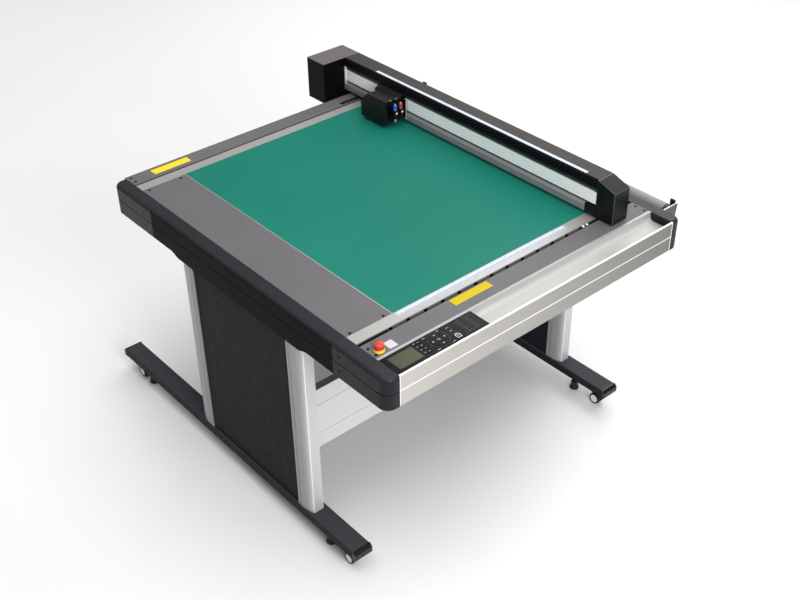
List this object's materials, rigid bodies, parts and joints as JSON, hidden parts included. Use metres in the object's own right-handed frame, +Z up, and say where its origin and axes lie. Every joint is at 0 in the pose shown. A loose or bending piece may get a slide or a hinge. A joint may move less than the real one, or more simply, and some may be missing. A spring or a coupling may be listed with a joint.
{
  "type": "flatbed cutting plotter",
  "caption": "Flatbed cutting plotter: green mat table on a wheeled stand, with a sliding gantry, tool carriage, key panel, stop button and side roll holder.",
  "frame": {"origin": "middle of the machine's footprint, on the floor", "axes": "+X to the operator's right, +Y away from the operator, +Z up"},
  "size_m": [1.22, 1.4606, 0.9564],
  "materials": {
    "charcoal_plastic": "fine textured, satin",
    "graphite_paint": "satin powder coat",
    "silver_aluminium": "satin anodised",
    "grey_plate": "satin",
    "bed_aluminium": "grey paint",
    "green_mat": "matte cutting mat",
    "bronze_anodised": "dark anodised, satin",
    "pale_rail": "anodised",
    "black_gloss": "gloss",
    "black_plastic": "satin",
    "display": "grey-green display window",
    "key_plastic": "satin",
    "red_plastic": "gloss",
    "yellow_plastic": "satin",
    "blue_plastic": "gloss",
    "steel": "satin",
    "wheel_tread": "matte tread with a pale hub disc",
    "rubber_pad": "matte",
    "white_pipe": "satin"
  },
  "bodies": {
    "base": {"foot_left": "graphite_paint", "foot_right": "graphite_paint", "foot_end_caps": "charcoal_plastic", "leg_posts": "silver_aluminium", "leg_panels": "graphite_paint", "crossbar": "silver_aluminium", "bed_body": "bed_aluminium", "cutting_mat": "green_mat", "platform_plates": "grey_plate", "front_plate": "grey_plate", "rear_plate": "grey_plate", "edge_strips": "silver_aluminium", "front_extrusion": "silver_aluminium", "rear_extrusion": "grey_plate", "side_panels": "charcoal_plastic", "corner_caps": "charcoal_plastic", "control_panel": "black_gloss", "lcd_window": "display", "estop_collar": "yellow_plastic", "screws": "steel", "roll_brackets": "bronze_anodised", "roll_saddles": "black_plastic"},
    "estop_stem": {"estop_stem": "steel"},
    "estop_head": {"estop_head": "red_plastic"},
    "roll_pipe": {"roll_pipe": "white_pipe"},
    "gantry": {"gantry_beam": "silver_aluminium", "gantry_top_cover": "bronze_anodised", "gantry_rail": "pale_rail", "gantry_cover_rear": "black_plastic", "gantry_cover_front": "black_plastic", "gantry_arms": "black_plastic"},
    "carriage": {"carriage_plate": "steel", "carriage_cover": "black_plastic"},
    "tool_a": {"tool_holder_a": "black_plastic", "cutter_a": "steel"},
    "tool_b": {"tool_holder_b": "black_plastic"},
    "knob_a": {"tool_knob_a": "blue_plastic"},
    "knob_b": {"tool_knob_b": "red_plastic"},
    "key_menu_1": {"key_menu_1": "key_plastic"},
    "key_menu_2": {"key_menu_2": "key_plastic"},
    "key_menu_3": {"key_menu_3": "key_plastic"},
    "key_menu_4": {"key_menu_4": "key_plastic"},
    "key_up": {"key_up": "key_plastic"},
    "key_right": {"key_right": "key_plastic"},
    "key_down": {"key_down": "key_plastic"},
    "key_left": {"key_left": "key_plastic"},
    "key_enter": {"key_enter": "key_plastic"},
    "key_start": {"key_start": "key_plastic"},
    "caster_front_left": {"caster_front_left": "black_plastic"},
    "wheels_front_left": {"wheels_front_left": "wheel_tread"},
    "leveller_front_left": {"leveller_front_left": "rubber_pad"},
    "caster_rear_left": {"caster_rear_left": "black_plastic"},
    "wheels_rear_left": {"wheels_rear_left": "wheel_tread"},
    "leveller_rear_left": {"leveller_rear_left": "rubber_pad"},
    "caster_front_right": {"caster_front_right": "black_plastic"},
    "wheels_front_right": {"wheels_front_right": "wheel_tread"},
    "leveller_front_right": {"leveller_front_right": "rubber_pad"},
    "caster_rear_right": {"caster_rear_right": "black_plastic"},
    "wheels_rear_right": {"wheels_rear_right": "wheel_tread"},
    "leveller_rear_right": {"leveller_rear_right": "rubber_pad"}
  },
  "joints": [
    {"name": "gantry_slide", "type": "slide", "parent": "base", "child": "gantry", "axis": [1, 0, 0], "range_m": [-0.64, 0]},
    {"name": "carriage_slide", "type": "slide", "parent": "gantry", "child": "carriage", "axis": [0, 1, 0], "range_m": [-0.745, 0.15]},
    {"name": "tool_a_drop", "type": "slide", "parent": "carriage", "child": "tool_a", "axis": [0, 0, 1], "range_m": [-0.014, 0]},
    {"name": "tool_b_drop", "type": "slide", "parent": "carriage", "child": "tool_b", "axis": [0, 0, 1], "range_m": [-0.014, 0]},
    {"name": "knob_a_turn", "type": "hinge", "parent": "tool_a", "child": "knob_a", "pos_m": [0.29, 0.27475, 0.898], "axis": [0, 0, 1], "range_deg": [0, 180]},
    {"name": "knob_b_turn", "type": "hinge", "parent": "tool_b", "child": "knob_b", "pos_m": [0.3144, 0.27475, 0.898], "axis": [0, 0, 1], "range_deg": [0, 180]},
    {"name": "estop_push", "type": "slide", "parent": "base", "child": "estop_stem", "axis": [0, 0, 1], "range_m": [-0.004, 0]},
    {"name": "estop_twist", "type": "hinge", "parent": "estop_stem", "child": "estop_head", "pos_m": [-0.538, -0.61925, 0.843], "axis": [0, 0, 1], "range_deg": [0, 45]},
    {"name": "roll_spin", "type": "hinge", "parent": "base", "child": "roll_pipe", "pos_m": [0.579, -0.08925, 0.796], "axis": [0, 1, 0], "continuous": true},
    {"name": "key_menu_1_press", "type": "slide", "parent": "base", "child": "key_menu_1", "axis": [0, 0, 1], "range_m": [-0.001, 0], "stiffness_N_per_m": 400},
    {"name": "key_menu_2_press", "type": "slide", "parent": "base", "child": "key_menu_2", "axis": [0, 0, 1], "range_m": [-0.001, 0], "stiffness_N_per_m": 400},
    {"name": "key_menu_3_press", "type": "slide", "parent": "base", "child": "key_menu_3", "axis": [0, 0, 1], "range_m": [-0.001, 0], "stiffness_N_per_m": 400},
    {"name": "key_menu_4_press", "type": "slide", "parent": "base", "child": "key_menu_4", "axis": [0, 0, 1], "range_m": [-0.001, 0], "stiffness_N_per_m": 400},
    {"name": "key_up_press", "type": "slide", "parent": "base", "child": "key_up", "axis": [0, 0, 1], "range_m": [-0.001, 0], "stiffness_N_per_m": 400},
    {"name": "key_right_press", "type": "slide", "parent": "base", "child": "key_right", "axis": [0, 0, 1], "range_m": [-0.001, 0], "stiffness_N_per_m": 400},
    {"name": "key_down_press", "type": "slide", "parent": "base", "child": "key_down", "axis": [0, 0, 1], "range_m": [-0.001, 0], "stiffness_N_per_m": 400},
    {"name": "key_left_press", "type": "slide", "parent": "base", "child": "key_left", "axis": [0, 0, 1], "range_m": [-0.001, 0], "stiffness_N_per_m": 400},
    {"name": "key_enter_press", "type": "slide", "parent": "base", "child": "key_enter", "axis": [0, 0, 1], "range_m": [-0.001, 0], "stiffness_N_per_m": 400},
    {"name": "key_start_press", "type": "slide", "parent": "base", "child": "key_start", "axis": [0, 0, 1], "range_m": [-0.001, 0], "stiffness_N_per_m": 400},
    {"name": "caster_front_left_swivel", "type": "hinge", "parent": "base", "child": "caster_front_left", "pos_m": [-0.578, -0.50425, 0.06], "axis": [0, 0, 1], "continuous": true},
    {"name": "wheels_front_left_spin", "type": "hinge", "parent": "caster_front_left", "child": "wheels_front_left", "pos_m": [-0.578, -0.51825, 0.02], "axis": [1, 0, 0], "continuous": true},
    {"name": "leveller_front_left_screw", "type": "slide", "parent": "base", "child": "leveller_front_left", "axis": [0, 0, 1], "range_m": [0, 0.015]},
    {"name": "caster_rear_left_swivel", "type": "hinge", "parent": "base", "child": "caster_rear_left", "pos_m": [-0.578, 0.66575, 0.06], "axis": [0, 0, 1], "continuous": true},
    {"name": "wheels_rear_left_spin", "type": "hinge", "parent": "caster_rear_left", "child": "wheels_rear_left", "pos_m": [-0.578, 0.65175, 0.02], "axis": [1, 0, 0], "continuous": true},
    {"name": "leveller_rear_left_screw", "type": "slide", "parent": "base", "child": "leveller_rear_left", "axis": [0, 0, 1], "range_m": [0, 0.015]},
    {"name": "caster_front_right_swivel", "type": "hinge", "parent": "base", "child": "caster_front_right", "pos_m": [0.508, -0.50425, 0.06], "axis": [0, 0, 1], "continuous": true},
    {"name": "wheels_front_right_spin", "type": "hinge", "parent": "caster_front_right", "child": "wheels_front_right", "pos_m": [0.508, -0.51825, 0.02], "axis": [1, 0, 0], "continuous": true},
    {"name": "leveller_front_right_screw", "type": "slide", "parent": "base", "child": "leveller_front_right", "axis": [0, 0, 1], "range_m": [0, 0.015]},
    {"name": "caster_rear_right_swivel", "type": "hinge", "parent": "base", "child": "caster_rear_right", "pos_m": [0.508, 0.66575, 0.06], "axis": [0, 0, 1], "continuous": true},
    {"name": "wheels_rear_right_spin", "type": "hinge", "parent": "caster_rear_right", "child": "wheels_rear_right", "pos_m": [0.508, 0.65175, 0.02], "axis": [1, 0, 0], "continuous": true},
    {"name": "leveller_rear_right_screw", "type": "slide", "parent": "base", "child": "leveller_rear_right", "axis": [0, 0, 1], "range_m": [0, 0.015]}
  ]
}
